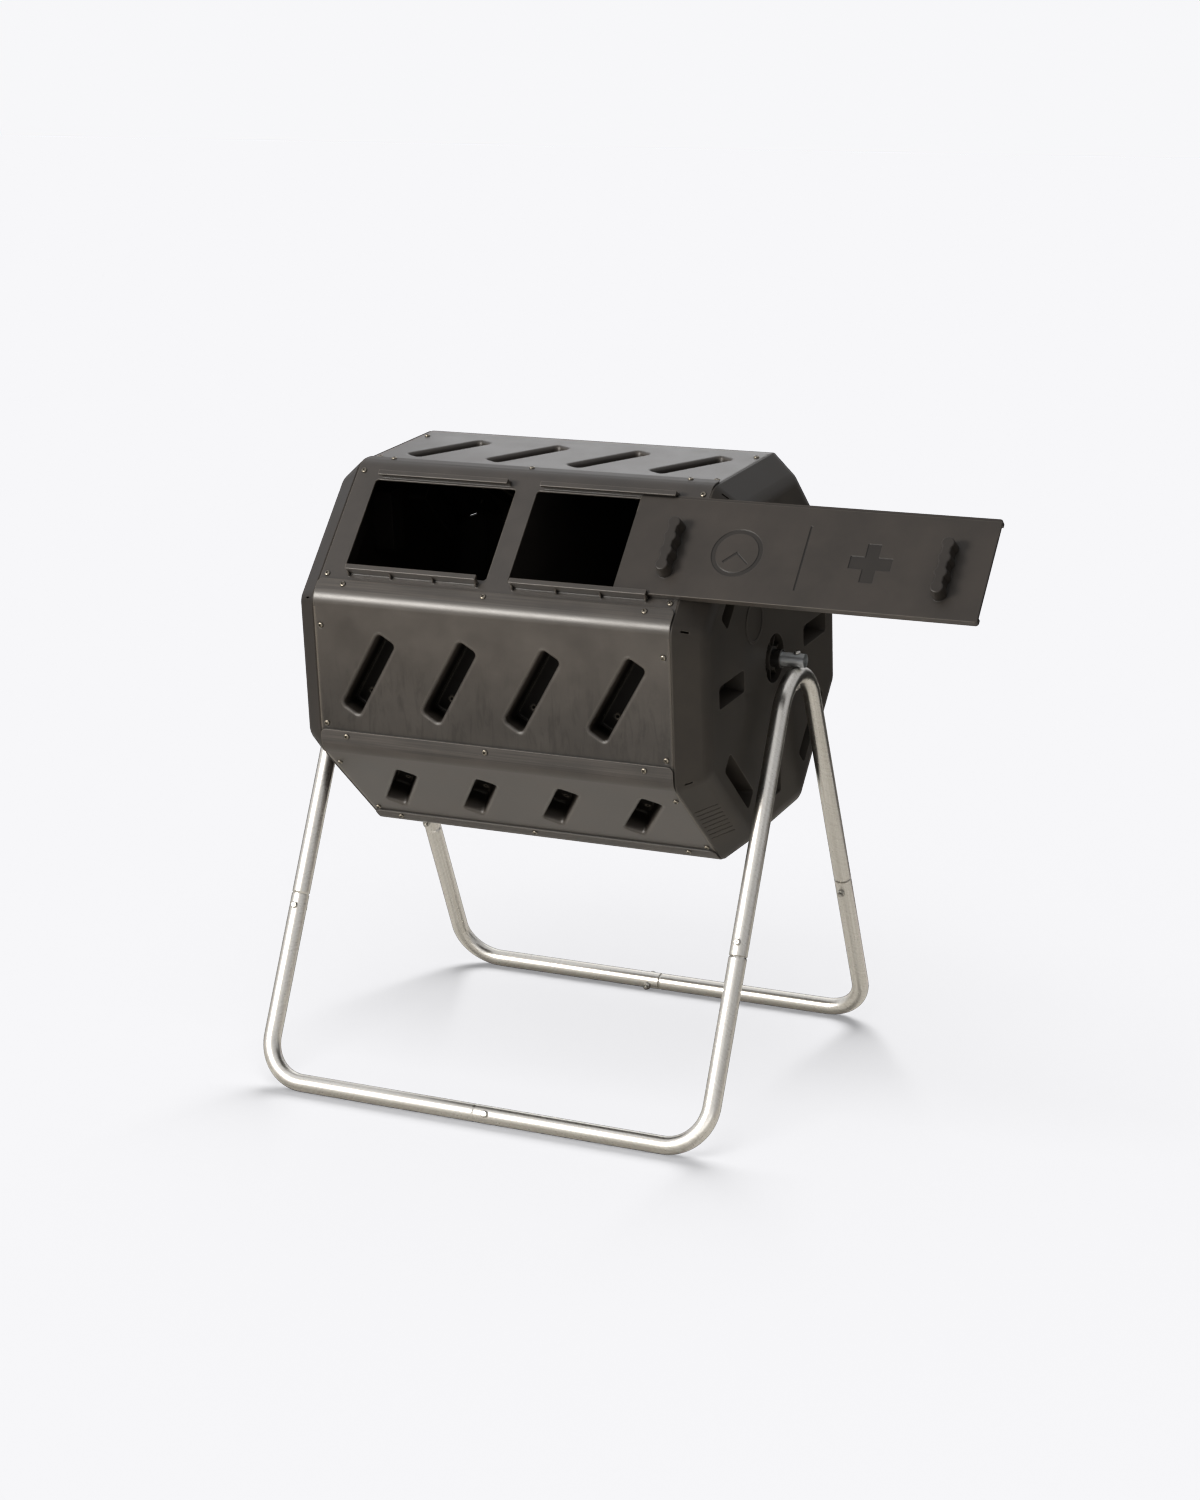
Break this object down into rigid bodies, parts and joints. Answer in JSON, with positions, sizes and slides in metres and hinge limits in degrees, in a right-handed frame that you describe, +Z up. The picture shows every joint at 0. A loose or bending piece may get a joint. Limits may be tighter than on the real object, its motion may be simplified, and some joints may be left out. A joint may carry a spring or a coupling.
{
  "type": "compost bin",
  "caption": "Tumbling compost bin: an eight-sided plastic drum with a sliding door, turning on a steel axle held by a bent tube stand.",
  "frame": {"origin": "on the floor, midway between the two hairpins and midway between the two floor rails", "axes": "+X along the axle towards the end where the door is drawn out, -Y the loading side, +Z up"},
  "size_m": [1.062, 0.6824, 0.923],
  "materials": {
    "panel_plastic": "satin moulded, fine grain",
    "door_plastic": "satin moulded, fine grain",
    "end_plastic": "satin moulded, fine grain",
    "inner_plastic": "satin moulded",
    "bush_plastic": "smooth",
    "tube_steel": "galvanised",
    "axle_steel": "galvanised",
    "bolt_steel": "zinc plated",
    "screw_steel": "bright zinc plated"
  },
  "bodies": {
    "stand": {"hairpin_left": "tube_steel", "hairpin_right": "tube_steel", "foot_front_left": "tube_steel", "foot_front_right": "tube_steel", "foot_rear_left": "tube_steel", "foot_rear_right": "tube_steel", "axle": "axle_steel", "axle_bolts": "bolt_steel", "axle_nuts": "bolt_steel", "frame_bolts": "bolt_steel", "frame_nuts": "bolt_steel"},
    "drum": {"front_panel": "panel_plastic", "top_panel": "panel_plastic", "rear_upper_panel": "panel_plastic", "rear_panel": "panel_plastic", "rear_lower_panel": "panel_plastic", "bottom_panel": "panel_plastic", "front_lower_panel": "panel_plastic", "door_panel": "panel_plastic", "end_plate_left": "end_plastic", "end_plate_right": "end_plastic", "hub_bush_left": "bush_plastic", "hub_bush_right": "bush_plastic", "divider": "inner_plastic", "seam_screws": "screw_steel", "end_screws": "screw_steel"},
    "door": {"sliding_door": "door_plastic"}
  },
  "joints": [
    {"name": "drum_spin", "type": "hinge", "parent": "stand", "child": "drum", "pos_m": [0, 0, 0.642], "axis": [1, 0, 0], "range_deg": [-170, 77]},
    {"name": "door_slide", "type": "slide", "parent": "drum", "child": "door", "axis": [1, 0, 0], "range_m": [-0.9, 0.022]}
  ]
}
